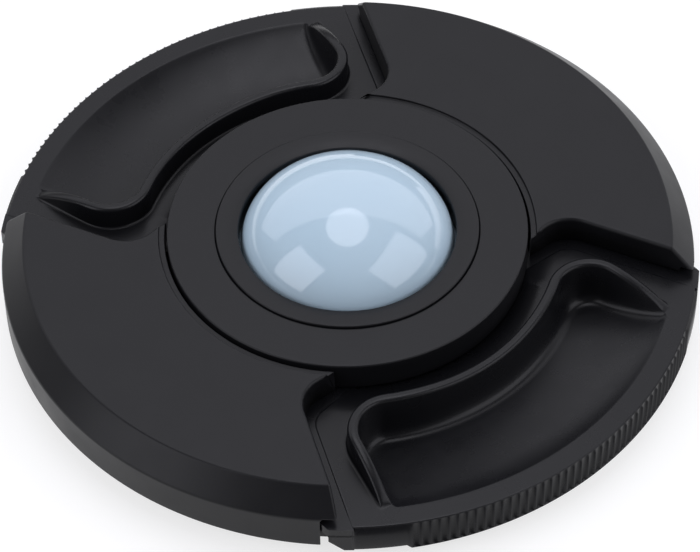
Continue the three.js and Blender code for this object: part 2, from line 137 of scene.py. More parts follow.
def arc(centre, radius, start, end, steps):
    """Points along an arc, angles in degrees."""
    points = []
    for i in range(steps + 1):
        angle = radians(start + (end - start) * i / steps)
        points.append((centre[0] + radius * cos(angle), centre[1] + radius * sin(angle)))
    return points


def mirrored(half):
    """The upper half of an outline followed by its mirror image."""
    return half + [(x, -y) for x, y in reversed(half)]


def combine(piece, other, operation):
    """Joins, cuts or intersects a piece with another, which is used up."""
    change = piece.modifiers.new("combine", "BOOLEAN")
    change.operation = operation
    change.solver = "EXACT"
    change.object = other
    bpy.context.view_layer.update()
    graph = bpy.context.evaluated_depsgraph_get()
    mesh = bpy.data.meshes.new_from_object(piece.evaluated_get(graph))
    piece.modifiers.clear()
    old = piece.data
    piece.data = mesh
    bpy.data.meshes.remove(old)
    bpy.data.objects.remove(other)


def join(pieces, name):
    """Several objects as one."""
    work = bmesh.new()
    for piece in pieces:
        held = piece.data.copy()
        held.transform(piece.matrix_world)
        work.from_mesh(held)
        bpy.data.meshes.remove(held)
        bpy.data.objects.remove(piece)
    mesh = bpy.data.meshes.new(name)
    work.to_mesh(mesh)
    work.free()
    for face in mesh.polygons:
        face.use_smooth = True
    return add_object(name, mesh)


def half_turned(piece, name):
    """A copy of a piece turned half a turn about Z."""
    mesh = piece.data.copy()
    mesh.transform(Matrix.Rotation(pi, 4, "Z"))
    return add_object(name, mesh)


def soften(piece, width, steps=3, angle=28.0):
    """Rounds a piece's edges by a width in millimetres."""
    bevel = piece.modifiers.new("rounded edges", "BEVEL")
    bevel.width = width * MM
    bevel.segments = steps
    bevel.limit_method = "ANGLE"
    bevel.angle_limit = radians(angle)
    bevel.miter_outer = "MITER_ARC"
    bevel.harden_normals = True
    return piece


# ---- materials --------------------------------------------------------------------------


class Nodes:
    """Short ways to build a node tree."""

    def __init__(self, name):
        self.material = bpy.data.materials.new(name)
        self.material.use_nodes = True
        self.tree = self.material.node_tree
        self.shader = self.tree.nodes["Principled BSDF"]

    def add(self, kind, **values):
        node = self.tree.nodes.new(kind)
        for key, value in values.items():
            setattr(node, key, value)
        return node

    def link(self, out, into):
        self.tree.links.new(out, into)

    def place(self):
        if not hasattr(self, "where"):
            self.where = self.add("ShaderNodeTexCoord").outputs["Object"]
        return self.where

    def noise(self, scale, detail=3.0, roughness=0.55):
        node = self.add("ShaderNodeTexNoise")
        node.inputs["Scale"].default_value = scale
        node.inputs["Detail"].default_value = detail
        node.inputs["Roughness"].default_value = roughness
        self.link(self.place(), node.inputs["Vector"])
        return node.outputs["Fac"]

    def ramp(self, source, low, high, start=0.3, end=0.7):
        """Maps a factor to numbers between low and high."""
        node = self.add("ShaderNodeMapRange")
        node.inputs["From Min"].default_value = start
        node.inputs["From Max"].default_value = end
        node.inputs["To Min"].default_value = low
        node.inputs["To Max"].default_value = high
        self.link(source, node.inputs["Value"])
        return node.outputs["Result"]

    def mix(self, factor, first, second):
        node = self.add("ShaderNodeMix", data_type="RGBA")
        self.link(factor, node.inputs[0])
        for socket, value in ((node.inputs[6], first), (node.inputs[7], second)):
            if isinstance(value, tuple):
                socket.default_value = (*value, 1.0)
            else:
                self.link(value, socket)
        return node.outputs[2]

    def bump(self, height, strength, distance, below=None):
        node = self.add("ShaderNodeBump")
        node.inputs["Strength"].default_value = strength
        node.inputs["Distance"].default_value = distance * MM
        self.link(height, node.inputs["Height"])
        if below is not None:
            self.link(below, node.inputs["Normal"])
        return node.outputs["Normal"]

    def edges(self, radius):
        """1 on edges within a radius in millimetres, 0 on open faces."""
        bevel = self.add("ShaderNodeBevel", samples=4)
        bevel.inputs["Radius"].default_value = radius * MM
        flat = self.add("ShaderNodeNewGeometry").outputs["Normal"]
        dot = self.add("ShaderNodeVectorMath", operation="DOT_PRODUCT")
        self.link(bevel.outputs["Normal"], dot.inputs[0])
        self.link(flat, dot.inputs[1])
        return self.ramp(dot.outputs["Value"], 1.0, 0.0, 0.80, 0.995)


def moulded_plastic(name, colour, worn, roughness, grain=0.10):
    """Moulded plastic: fine grain, faint blotches, lighter handled edges."""
    made = Nodes(name)
    blotch = made.ramp(made.noise(120.0, 4.0), 0.0, 1.0)
    deeper = tuple(0.93 * c for c in colour)
    body = made.mix(blotch, deeper, colour)
    scuff = made.ramp(made.noise(900.0, 6.0, 0.7), 0.0, 1.0, 0.45, 0.75)
    edge = made.add("ShaderNodeMath", operation="MULTIPLY")
    made.link(made.edges(0.35), edge.inputs[0])
    made.link(scuff, edge.inputs[1])
    made.link(made.mix(edge.outputs[0], body, worn), made.shader.inputs["Base Color"])
    rough = made.ramp(made.noise(260.0, 5.0), roughness - 0.03, roughness + 0.04)
    made.link(rough, made.shader.inputs["Roughness"])
    fine = made.bump(made.noise(5200.0, 2.0), grain, 0.03)
    made.link(made.bump(made.noise(300.0, 2.0), 0.03, 0.04, fine), made.shader.inputs["Normal"])
    made.shader.inputs["Specular IOR Level"].default_value = 0.25
    return made.material


def clear_blue(name, colour, deep, roughness, transmission):
    """Glossy tinted plastic with a faint flow of colour."""
    made = Nodes(name)
    flow = made.ramp(made.noise(60.0, 2.0), 0.0, 1.0)
    made.link(made.mix(flow, deep, colour), made.shader.inputs["Base Color"])
    rough = made.ramp(made.noise(500.0, 4.0), roughness * 0.7, roughness * 1.4)
    made.link(rough, made.shader.inputs["Roughness"])
    made.link(made.bump(made.noise(90.0, 1.0), 0.04, 0.1), made.shader.inputs["Normal"])
    made.shader.inputs["Transmission Weight"].default_value = transmission
    made.shader.inputs["IOR"].default_value = 1.49
    made.shader.inputs["Coat Weight"].default_value = 0.4
    made.shader.inputs["Coat Roughness"].default_value = 0.03
    return made.material


def drawn_steel(name):
    """Steel with fine marks and slightly dull patches."""
    made = Nodes(name)
    tone = made.ramp(made.noise(700.0, 4.0), 0.0, 1.0)
    made.link(made.mix(tone, (0.42, 0.43, 0.45), (0.62, 0.63, 0.65)), made.shader.inputs["Base Color"])
    made.link(made.ramp(made.noise(1500.0, 3.0), 0.22, 0.42), made.shader.inputs["Roughness"])
    made.link(made.bump(made.noise(4000.0, 2.0), 0.08, 0.02), made.shader.inputs["Normal"])
    made.shader.inputs["Metallic"].default_value = 1.0
    return made.material


CHARCOAL = (0.0080, 0.0081, 0.0095)
CHARCOAL_WORN = (0.032, 0.033, 0.036)

cover_black = moulded_plastic("cover_black", CHARCOAL, CHARCOAL_WORN, 0.38)
lever_black = moulded_plastic("lever_black", (0.0075, 0.0076, 0.0090), CHARCOAL_WORN, 0.28, 0.08)
ring_black = moulded_plastic("ring_black", (0.0085, 0.0086, 0.0100), CHARCOAL_WORN, 0.34)
back_black = moulded_plastic("back_black", (0.016, 0.016, 0.017), CHARCOAL_WORN, 0.5, 0.16)
washer_rubber = moulded_plastic("washer_rubber", (0.012, 0.012, 0.012), (0.03, 0.03, 0.03), 0.8, 0.25)
milky_white = moulded_plastic("milky_white", (0.78, 0.80, 0.82), (0.86, 0.87, 0.88), 0.35, 0.05)
dome_blue = clear_blue("dome_blue", (0.58, 0.74, 0.86), (0.54, 0.71, 0.84), 0.07, 0.08)
filter_blue = clear_blue("filter_blue", (0.22, 0.38, 0.66), (0.18, 0.33, 0.60), 0.12, 0.2)
steel = drawn_steel("steel")


def finish_piece(piece, material, body, slot, *nodes):
    """Gives a piece its material, the body it moves with and the CAD nodes it stands for."""
    piece.data.materials.clear()
    piece.data.materials.append(material)
    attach(piece, body)
    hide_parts(*nodes)


# ---- cover ------------------------------------------------------------------------------

SIDE_WALL = 1.5
SKIN_HOLE = 0.5  # the lathed skin stops short of the axis; the cut-out removes the rest
POCKET_CORNER_END = 190  # degrees, where the pocket's fillet meets its straight inner edge
LAP_BEARINGS = (-48.5, 42.0, 131.5, 222.0)  # where the levers' tongues slide into the side wall
LAP_TURN = 6.5
FULL_ROUNDING = 0.42
SHARP_ANGLE = 28.0
POST_X = 8.0
POST_Y = 32.8
POST_RADIUS = 2.2
POST_BORE = 0.95
POST_TOP = SLIDE + 0.2
ANCHOR_X = (4.6, 5.8)
ANCHOR_Y = (24.3, 28.9)


def pocket_outline():
    """The pocket on the +X side."""
    corner = arc(POCKET_CORNER, POCKET_FILLET, 90 + POCKET_ANGLE, POCKET_CORNER_END, 24)
    x, y = corner[0]
    far_y = y + (FAR - x) * tan(radians(POCKET_ANGLE))
    return mirrored([(FAR, far_y)] + corner)


def edge_share(first, second):
    """How round an edge of the cover is: full along the pockets, none inside, less elsewhere."""
    middle = (first + second) / 2
    radius = hypot(middle.x, middle.y)
    if middle.z < SLIDE + 0.1 and radius < CAP_RADIUS - 2:
        return 0.0
    if radius < 22.3 or middle.z < SLIDE + 0.1:
        return 0.28
    outward = Vector((middle.x, middle.y, 0)).normalized()
    along = abs((second - first).normalized().dot(outward))
    if radius > CAP_RADIUS - CHAMFER_WIDTH - 0.3 and along < 0.3:
        return 0.5
    return 1.0


def weigh_edges(piece):
    """Tidies the mesh and marks how round each of its edges is."""
    work = bmesh.new()
    work.from_mesh(piece.data)
    bmesh.ops.remove_doubles(work, verts=work.verts, dist=0.04 * MM)
    bmesh.ops.dissolve_limit(work, angle_limit=radians(0.4), verts=work.verts, edges=work.edges)
    wide = [face for face in work.faces if len(face.verts) > 8 and face.normal.z < -0.5]
    bmesh.ops.triangulate(work, faces=wide)
    weight = work.edges.layers.float.new("bevel_weight_edge")
    for edge in work.edges:
        if edge.calc_face_angle(0.0) > radians(SHARP_ANGLE):
            first, second = (corner.co / MM for corner in edge.verts)
            edge[weight] = edge_share(first, second)
    work.to_mesh(piece.data)
    work.free()


def make_cover():
    """Two chamfered sectors with the pockets and the round cut-out, and the posts beneath them."""
    skin = lathe("cover_skin", [
        (SKIN_HOLE, SLIDE),
        (CAP_RADIUS - SIDE_WALL, SLIDE),
        (CAP_RADIUS - SIDE_WALL, RIM),
        (CAP_RADIUS, RIM),
        (CAP_RADIUS, CHAMFER_START),
        (CAP_RADIUS - CHAMFER_WIDTH, FACE),
        (SKIN_HOLE, FACE),
    ], 240)
    for turn in (0, 1):
        pocket = prism("pocket", pocket_outline(), -1, FAR)
        if turn:
            pocket.data.transform(Matrix.Rotation(pi, 4, "Z"))
        combine(skin, pocket, "DIFFERENCE")
    step = FACE - RECESS_DEPTH
    hole = lathe("hole", [
        (0, -1),
        (CUTOUT_RADIUS, -1),
        (CUTOUT_RADIUS, step),
        (RECESS_RADIUS, step),
        (RECESS_RADIUS, FAR),
        (0, FAR),
    ], 200)
    combine(skin, hole, "DIFFERENCE")
    for bearing in LAP_BEARINGS:
        lap = lathe("lap", [
            (CAP_RADIUS - 1.7, 0),
            (CAP_RADIUS - 0.7, 0),
            (CAP_RADIUS - 0.7, SLIDE),
            (CAP_RADIUS - 1.7, SLIDE),
        ], 8, bearing, LAP_TURN)
        combine(skin, lap, "DIFFERENCE")
    ends = lathe("ends", [
        (CAP_RADIUS - 1.6, 0),
        (FAR, 0),
        (FAR, CHAMFER_START),
        (CAP_RADIUS - 1.6, CHAMFER_START),
    ], 96)
    corners = [(-FAR, -SIDE_END), (FAR, -SIDE_END), (FAR, SIDE_END), (-FAR, SIDE_END)]
    band = prism("band", corners, -1, FAR)
    combine(ends, band, "INTERSECT")
    combine(skin, ends, "DIFFERENCE")
    parts = [skin]
    for sx in (1, -1):
        for sy in (1, -1):
            boss = lathe("boss", [
                (POST_BORE, RIM),
                (POST_RADIUS, RIM),
                (POST_RADIUS, POST_TOP),
                (POST_BORE, POST_TOP),
            ], 40)
            boss.data.transform(Matrix.Translation((POST_X * sx * MM, POST_Y * sy * MM, 0)))
            x = sorted(near * sx for near in ANCHOR_X)
            y = sorted(near * sy for near in ANCHOR_Y)
            outline = [(x[0], y[0]), (x[1], y[0]), (x[1], y[1]), (x[0], y[1])]
            parts += [boss, prism("anchor", outline, RIM, POST_TOP)]
    parts.append(lathe("hub", [(17.0, 3.1), (21.0, 3.1), (21.0, 4.4), (17.0, 4.4)], 120))
    cover = join(parts, "front_cover_shell")
    weigh_edges(cover)
    soften(cover, FULL_ROUNDING)
    bevel = cover.modifiers["rounded edges"]
    bevel.limit_method = "WEIGHT"
    bevel.use_clamp_overlap = False
    return cover


finish_piece(make_cover(), cover_black, "cap_body", "satin_black", "front_cover")

# ---- levers -----------------------------------------------------------------------------

WELL_INNER = 24.1 + LIP_WIDTH
WELL_OUTER = 38.05
WELL_CORNER = (24.9, 15.05)
WELL_FILLET = 5.0 - LIP_WIDTH
WELL_END_FILLET = 1.0
LEG_ANGLE = 15.6
FLOOR = RIM + 1.0
FLOOR_START = 25.8
FLOOR_CURVE = 2.2  # how late the floor rises and the bead falls away
BEAD_START = 22.0  # x where the bead is at its full height
BEAD_END = 31.1  # x where it has run out


def floor_height(x, y):
    """Height of the well's floor."""
    share = max(0.0, (hypot(x, y) - FLOOR_START) / (WELL_OUTER - FLOOR_START))
    return min(FLOOR + (PLATE - FLOOR) * share ** FLOOR_CURVE, PLATE)


def bead_height(x, y):
    """How far the bead stands above the plate: full by the ring, none at the rim."""
    share = min(1.0, max(0.0, (x - BEAD_START) / (BEAD_END - BEAD_START)))
    return LIP_HEIGHT * (1.0 - share ** FLOOR_CURVE)


def well_loop():
    """The well's edge as (x, y, outward x, outward y), all the way round."""
    cx, cy = WELL_CORNER
    bearing = degrees(atan2(cy, cx))
    half = []
    for i in range(25):
        angle = radians(bearing * i / 24)
        half.append((WELL_INNER * cos(angle), WELL_INNER * sin(angle), -cos(angle), -sin(angle)))
    turn_start = 180 + bearing
    turn_end = 90 + LEG_ANGLE
    for i in range(1, 19):
        angle = radians(turn_start + (turn_end - turn_start) * i / 18)
        half.append((cx + WELL_FILLET * cos(angle), cy + WELL_FILLET * sin(angle), cos(angle), sin(angle)))
    tx, ty, nx, ny = half[-1]
    dx, dy = cos(radians(LEG_ANGLE)), sin(radians(LEG_ANGLE))
    # the small corner between the leg and the rim arc
    small = WELL_END_FILLET
    ax, ay = tx - nx * small, ty - ny * small
    along = ax * dx + ay * dy
    reach = -along + sqrt(along * along - ax * ax - ay * ay + (WELL_OUTER - small) ** 2)
    for i in range(1, 17):
        half.append((tx + dx * reach * i / 16, ty + dy * reach * i / 16, nx, ny))
    kx, ky = ax + dx * reach, ay + dy * reach
    end_bearing = degrees(atan2(ky, kx))
    leg_bearing = degrees(atan2(ny, nx))
    for i in range(1, 9):
        angle = radians(leg_bearing + (end_bearing - leg_bearing) * i / 8)
        half.append((kx + small * cos(angle), ky + small * sin(angle), cos(angle), sin(angle)))
    for i in range(1, 31):
        angle = radians(end_bearing * (1 - i / 30))
        half.append((WELL_OUTER * cos(angle), WELL_OUTER * sin(angle), cos(angle), sin(angle)))
    other = [(x, -y, nx_, -ny_) for x, y, nx_, ny_ in reversed(half[1:-1])]
    return half + other


# across the bead: distance out from the well's edge, share of the bead's height, rounding down
BEAD_SECTION = [
    (LIP_WIDTH + 0.42, 0.0, 0.0),
    (LIP_WIDTH + 0.30, 0.0, 0.0),
    (LIP_WIDTH + 0.09, 0.0, 0.09),
    (LIP_WIDTH, 0.0, 0.30),
    (LIP_WIDTH, 1.0, -0.42),
    (LIP_WIDTH - 0.06, 1.0, -0.22),
    (LIP_WIDTH - 0.20, 1.0, -0.07),
    (LIP_WIDTH - 0.42, 1.0, 0.0),
    (0.36, 1.0, 0.0),
    (0.16, 1.0, -0.06),
    (0.05, 1.0, -0.18),
    (0.0, 1.0, -0.36),
]
# down the well's wall: distance in from the edge, share of the way up to the bead
WALL_SECTION = [
    (0.10, 0.72),
    (0.24, 0.42),
    (0.42, 0.20),
    (0.70, 0.075),
    (1.10, 0.018),
    (1.6, 0.0),
]
FLOOR_RINGS = 14
FLOOR_MIDDLE = 31.6  # radius of the arc that the floor's rings close on
FLOOR_SPREAD = 0.62  # length of that arc, as a share of the well's


def bead_level(x, y, share, offset):
    """Height of a point across the bead, flat where there is no bead."""
    height = bead_height(x, y)
    if share == 0.0:
        return PLATE + min(offset, 0.35 * height)
    full = PLATE + height + offset * min(1.0, height / 0.8)
    return max(full, PLATE)


def make_top_loops(loop):
    """Rings of points from the bead's outer foot, over the bead, down the wall and across the floor."""
    rings = []
    for distance, share, offset in BEAD_SECTION:
        ring = []
        for x, y, nx, ny in loop:
            ring.append((x + nx * distance, y + ny * distance, bead_level(x, y, share, offset)))
        rings.append(ring)
    for distance, share in WALL_SECTION:
        ring = []
        for x, y, nx, ny in loop:
            px, py = x - nx * distance, y - ny * distance
            floor = floor_height(px, py)
            top = bead_level(x, y, 1.0, BEAD_SECTION[-1][2])
            ring.append((px, py, floor + (top - floor) * share))
        rings.append(ring)
    start = rings[-1]
    for k in range(1, FLOOR_RINGS + 1):
        share = k / FLOOR_RINGS
        ring = []
        for x, y, _ in start:
            angle = atan2(y, x) * FLOOR_SPREAD
            mx, my = FLOOR_MIDDLE * cos(angle), FLOOR_MIDDLE * sin(angle)
            px, py = x + (mx - x) * share, y + (my - y) * share
            ring.append((px, py, floor_height(px, py)))
        rings.append(ring)
    return rings


KNURL_COUNT = 42
KNURL_PITCH = 1.48
KNURL_DEPTH = 0.30
KNURL_DROP = 0.58
KNURL_STEPS = 8
KNURL_CURVE = 2.2  # higher numbers give wider grooves and narrower ridges
SKIRT = 1.4
PLATE_INNER = 19.6  # the plate's inner arc, below the ring
PLATE_INNER_ANGLE = 37


def knurl_radius(angle):
    """Scalloped grooves with narrow ridges between them."""
    half = KNURL_COUNT * KNURL_PITCH / 2
    if abs(angle) >= half:
        return LEVER_RADIUS
    share = ((angle + half) / KNURL_PITCH) % 1.0
    return LEVER_RADIUS - KNURL_DEPTH * (1.0 - abs(2.0 * share - 1.0) ** KNURL_CURVE)


def strip_end_angle():
    """Where the lowered strip's inner line meets the rim, in degrees."""
    x, y = arc(POCKET_CORNER, POCKET_FILLET - STRIP_WIDTH, 90 + POCKET_ANGLE, 180, 2)[0]
    dx, dy = cos(radians(POCKET_ANGLE)), sin(radians(POCKET_ANGLE))
    along = x * dx + y * dy
    reach = -along + sqrt(along * along - x * x - y * y + LEVER_RADIUS ** 2)
    return degrees(atan2(y + dy * reach, x + dx * reach))


def make_perimeter():
    """The shown plate's edge as (x, y, outward x, outward y, is rim, angle)."""
    end = strip_end_angle()
    points = []
    half_knurl = KNURL_COUNT * KNURL_PITCH / 2
    count = KNURL_COUNT * KNURL_STEPS
    angles = [-end + (end - half_knurl) * i / 12 for i in range(12)]
    angles += [-half_knurl + KNURL_PITCH * i / KNURL_STEPS for i in range(count + 1)]
    angles += [half_knurl + (end - half_knurl) * i / 12 for i in range(1, 13)]
    for angle in angles:
        c, s = cos(radians(angle)), sin(radians(angle))
        points.append((LEVER_RADIUS * c, LEVER_RADIUS * s, c, s, True, angle))
    # where the rim meets the pocket's line, both are inset to the same corner
    nx, ny = cos(radians(90 + POCKET_ANGLE)), sin(radians(90 + POCKET_ANGLE))
    x, y, c, s, _, _ = points[-1]
    share = 1.0 + c * nx + s * ny
    mx, my = (c + nx) / share, (s + ny) / share
    points[-1] = (x, y, mx, my, True, end)
    points[0] = (x, -y, mx, -my, True, -end)
    crest = (LEVER_RADIUS - KNURL_DEPTH) / LEVER_RADIUS
    # the pocket's line, its fillet and the inner arc below the ring
    edge = [(x * crest, y * crest, mx, my, False, 0.0)]
    corner = arc(POCKET_CORNER, POCKET_FILLET - STRIP_WIDTH, 90 + POCKET_ANGLE, 180, 16)
    for i, (x, y) in enumerate(corner):
        angle = radians(90 + POCKET_ANGLE + (90 - POCKET_ANGLE) * i / 16)
        edge.append((x, y, cos(angle), sin(angle), False, 0.0))
    under_ring = arc((0, 0), PLATE_INNER, PLATE_INNER_ANGLE, -PLATE_INNER_ANGLE, 40)
    inner = [(x, y, 0.0, 0.0, False, 0.0) for x, y in under_ring]
    back = [(x, -y, a, -b, c, d) for x, y, a, b, c, d in reversed(edge)]
    return points + edge + inner + back


def perimeter_columns(point):
    """The points down one place of the plate's edge."""
    x, y, nx, ny, rim, angle = point
    scale = knurl_radius(angle) / LEVER_RADIUS if rim else 1.0
    crest = (LEVER_RADIUS - KNURL_DEPTH) / LEVER_RADIUS if rim else 1.0
    crest_x, crest_y = x * crest, y * crest
    column = [
        (crest_x - nx * 0.26, crest_y - ny * 0.26, PLATE),
        (crest_x - nx * 0.14, crest_y - ny * 0.14, PLATE),
        (crest_x - nx * 0.03, crest_y - ny * 0.03, PLATE - 0.03),
        (crest_x, crest_y, PLATE - 0.09),
    ]
    if not rim:
        return column + [(x, y, PLATE_UNDER)] * 7
    inner = (LEVER_RADIUS - SKIRT) / LEVER_RADIUS
    knurled = abs(angle) <= KNURL_COUNT * KNURL_PITCH / 2 + 0.01
    foot = RIM - KNURL_DROP if knurled else RIM
    return column + [
        (crest_x, crest_y, PLATE - 0.11),
        (x * scale, y * scale, PLATE - 0.22),
        (x * scale, y * scale, foot + 0.30),
        (x, y, foot + 0.16),
        (x - nx * 0.1, y - ny * 0.1, foot),
        (x * inner, y * inner, foot),
        (x * inner, y * inner, PLATE_UNDER),
    ]


def bridge(faces, first, second, count):
    """Quads between two rings that start at two point numbers."""
    for i in range(count):
        after = (i + 1) % count
        faces.append([first + i, first + after, second + after, second + i])


def fill_between(work, outer, inner):
    """Triangles between an outer and an inner ring of vertices."""
    edges = []
    for ring in (outer, inner):
        for i, vert in enumerate(ring):
            after = ring[(i + 1) % len(ring)]
            edges.append(work.edges.get((vert, after)) or work.edges.new((vert, after)))
    return bmesh.ops.triangle_fill(work, edges=edges, use_beauty=True)


def make_lever_skin():
    """The plate with its bead, finger well and knurled rim as one closed surface."""
    loop = well_loop()
    rings = make_top_loops(loop)
    under = []
    for x, y, nx, ny in loop:
        px, py = x + nx * LIP_WIDTH, y + ny * LIP_WIDTH
        under.append((px, py, PLATE_UNDER))
    under_rings = [under]
    lower = [(x, y, min(PLATE_UNDER, floor_height(x, y) - 1.0)) for x, y, _ in under]
    under_rings.append(lower)
    for ring in rings[len(BEAD_SECTION) + 4:]:
        under_rings.append([(x, y, min(PLATE_UNDER, floor_height(x, y) - 1.0)) for x, y, _ in ring])

    work = bmesh.new()

    def add_ring(ring):
        return [work.verts.new((x * MM, y * MM, z * MM)) for x, y, z in ring]

    def skin(first, second):
        count = len(first)
        for i in range(count):
            after = (i + 1) % count
            corners = [first[i], first[after], second[after], second[i]]
            work.faces.new(corners)

    top = [add_ring(ring) for ring in rings]
    for first, second in zip(top, top[1:]):
        skin(first, second)
    bottom = [add_ring(ring) for ring in under_rings]
    for first, second in zip(bottom, bottom[1:]):
        skin(first, second)
    columns = [perimeter_columns(point) for point in make_perimeter()]
    sides = [add_ring([column[k] for column in columns]) for k in range(len(columns[0]))]
    for first, second in zip(sides, sides[1:]):
        skin(first, second)
    fill_between(work, sides[0], top[0])
    fill_between(work, sides[-1], bottom[0])
    bmesh.ops.remove_doubles(work, verts=work.verts, dist=2e-6)
    bmesh.ops.dissolve_degenerate(work, edges=work.edges, dist=1e-6)
    bmesh.ops.recalc_face_normals(work, faces=work.faces)
    mesh = bpy.data.meshes.new("lever_skin")
    work.to_mesh(mesh)
    work.free()
    return add_object("lever_skin", mesh)


# the strip's inner edge: out of sight under the cover and the ring
STRIP_INNER = [(15.5, 21.0), (13.9, 20.3), (13.9, 14.3), (15.0, 12.6), (16.0, 11.8)]
TONGUE_BEARINGS = {1: 40, -1: -46.8}
TONGUE_TURN = 6.8
TAB_X = (15.9, 17.2)
TAB_Y = (24.4, 28.8)


def make_lever_ends():
    """The strips, tongues, rim wall ends and spring tabs at the two ends of a lever."""
    parts = []
    strip_top = PLATE - STRIP_DROP
    inside = arc(POCKET_CORNER, POCKET_FILLET - STRIP_WIDTH - 0.3, 90 + POCKET_ANGLE, 180, 12)
    start = strip_end_angle() - 0.3
    end = degrees(atan2(LEVER_END, sqrt(LEVER_RADIUS ** 2 - LEVER_END ** 2)))
    for side in (1, -1):
        rim = arc((0, 0), LEVER_RADIUS, start, end, 6)
        outline = rim + [(24.0, LEVER_END)] + STRIP_INNER + inside[::-1]
        outline = [(x, y * side) for x, y in outline]
        parts.append(prism("strip", outline, PLATE_UNDER, strip_top))
        tongue = [(CAP_RADIUS - 1.8, RIM + 0.3), (CAP_RADIUS - 1.0, RIM + 0.3)]
        tongue += [(CAP_RADIUS - 1.0, PLATE - 0.6), (CAP_RADIUS - 1.8, PLATE - 0.6)]
        parts.append(lathe("tongue", tongue, 8, TONGUE_BEARINGS[side], TONGUE_TURN))
        wall = []
        for level, cut in ((RIM, 2.4), (RIM + 1.5, 0.0), (PLATE_UNDER + 0.3, 0.0)):
            stop = end - cut
            ring = arc((0, 0), LEVER_RADIUS, start, stop, 6)
            ring += arc((0, 0), LEVER_RADIUS - SKIRT, stop, start, 6)
            wall.append([(x, y * side, level) for x, y in ring])
        points = [point for ring in wall for point in ring]
        count = len(wall[0])
        faces = [list(range(count)), list(range(2 * count, 3 * count))[::-1]]
        bridge(faces, 0, count, count)
        bridge(faces, count, 2 * count, count)
        parts.append(from_faces("rim_end", points, faces))
        low, high = sorted(y * side for y in TAB_Y)
        tab = [(TAB_X[0], low), (TAB_X[1], low), (TAB_X[1], high), (TAB_X[0], high)]
        parts.append(prism("tab", tab, RIM + 0.2, FACE - 1.9))
    return parts


def apply_changes(piece):
    """Turns a piece's modifiers into its mesh."""
    bpy.context.view_layer.update()
    graph = bpy.context.evaluated_depsgraph_get()
    mesh = bpy.data.meshes.new_from_object(piece.evaluated_get(graph))
    piece.modifiers.clear()
    piece.data = mesh
    return piece


def soften_now(piece, width):
    """Rounds a piece's edges for good."""
    return apply_changes(soften(piece, width, 2, 40.0))


def make_latch():
    """The barbed blade that grips the filter thread."""
    section = [
        (36.3, 0.3),
        (37.4, 0.3),
        (38.4, 0.8),
        (38.4, 1.1),
        (37.8, 1.35),
        (38.4, 1.7),
        (38.4, 2.0),
        (37.7, 2.4),
        (37.7, 5.0),
        (36.3, 5.0),
    ]
    return soften_now(lathe("latch", section, 36, -24, 48), 0.1)


def sharpen(piece, degrees_apart):
    """Keeps real corners crisp on a smooth-shaded mesh."""
    piece.data.shade_smooth()
    piece.data.set_sharp_from_angle(angle=radians(degrees_apart))
    return piece


lever = sharpen(join([make_lever_skin(), make_latch()] + make_lever_ends(), "lever_shell"), 38)
other_lever = half_turned(lever, "lever_shell_left")
finish_piece(lever, lever_black, "right_lever", "lever_black", "pinch_lever_right")
finish_piece(other_lever, lever_black, "left_lever", "lever_black", "pinch_lever_left")

# ---- ring, collar and dome --------------------------------------------------------------


def make_ring():
    """The flat ring round the dome with its tube below."""
    ring = lathe("centre_ring_shell", [
        (12.9, RIM),
        (16.4, RIM),
        (16.4, RING_TOP - 1.6),
        (19.5, RING_TOP - 1.6),
        (19.5, SLIDE),
        (20.8, SLIDE),
        (20.8, RING_TOP),
        (15.20, RING_TOP),
        (15.20, FACE - 0.8),
        (14.55, FACE - 0.8),
        (14.55, RIM + 0.4),
        (12.9, RIM + 0.4),
    ], 256)
    return soften(ring, 0.22)


LUG_COUNT = 3
LUG_TURN = 10  # degrees


def make_collar():
    """The collar that twists, with its lugs."""
    parts = [lathe("collar_body", [
        (13.2, 5.2),
        (14.25, 5.2),
        (14.25, FACE - 0.5),
        (15.17, FACE - 0.5),
        (15.17, COLLAR_TOP),
        (13.5, COLLAR_TOP),
        (12.55, COLLAR_TOP - 0.25),
        (12.55, FACE - 0.6),
        (13.2, FACE - 1.2),
    ], 256)]
    section = [(13.9, 6.3), (14.95, 6.3), (14.95, 6.9), (13.9, 6.9)]
    for i in range(LUG_COUNT):
        start = 360 / LUG_COUNT * i - LUG_TURN / 2
        parts.append(lathe("lug", section, 6, start, LUG_TURN))
    return soften(join(parts, "dome_collar_shell"), 0.16)


DOME_WIDTH = 12.35
DOME_RISE = 8.1
DOME_CENTRE = 7.8
DOME_WALL = 1.2


def make_dome():
    """A flattened hollow dome on a thin flange."""
    outside = []
    inside = []
    steps = 40
    for i in range(steps):
        angle = radians(90 * i / steps)
        outside.append((DOME_WIDTH * cos(angle), DOME_CENTRE + DOME_RISE * sin(angle)))
        width, rise = DOME_WIDTH - DOME_WALL, DOME_RISE - DOME_WALL
        inside.append((width * cos(angle), DOME_CENTRE + rise * sin(angle)))
    outside.append((0.0, DOME_CENTRE + DOME_RISE))
    inside.append((0.0, DOME_CENTRE + DOME_RISE - DOME_WALL))
    foot = [(DOME_WIDTH - DOME_WALL, 4.2), (14.2, 4.2), (14.2, 5.0), (DOME_WIDTH, 5.0)]
    dome = lathe("dome_shell", foot + outside + inside[::-1], 192)
    return sharpen(dome, 40)


finish_piece(make_ring(), ring_black, "cap_body", "satin_black", "centre_ring")
finish_piece(make_collar(), ring_black, "collar", "satin_black", "dome_collar")
finish_piece(make_dome(), dome_blue, "cap_body", "blue_lens", "diffuser_dome")

# ---- springs ----------------------------------------------------------------------------

SPRING_Y = 26.6
SPRING_Z = 5.3
SPRING_START = 6.17
SPRING_END = 15.53
SPRING_TURNS = 5
COIL_RADIUS = 1.75
WIRE_RADIUS = 0.22
TRAVEL = 2.5


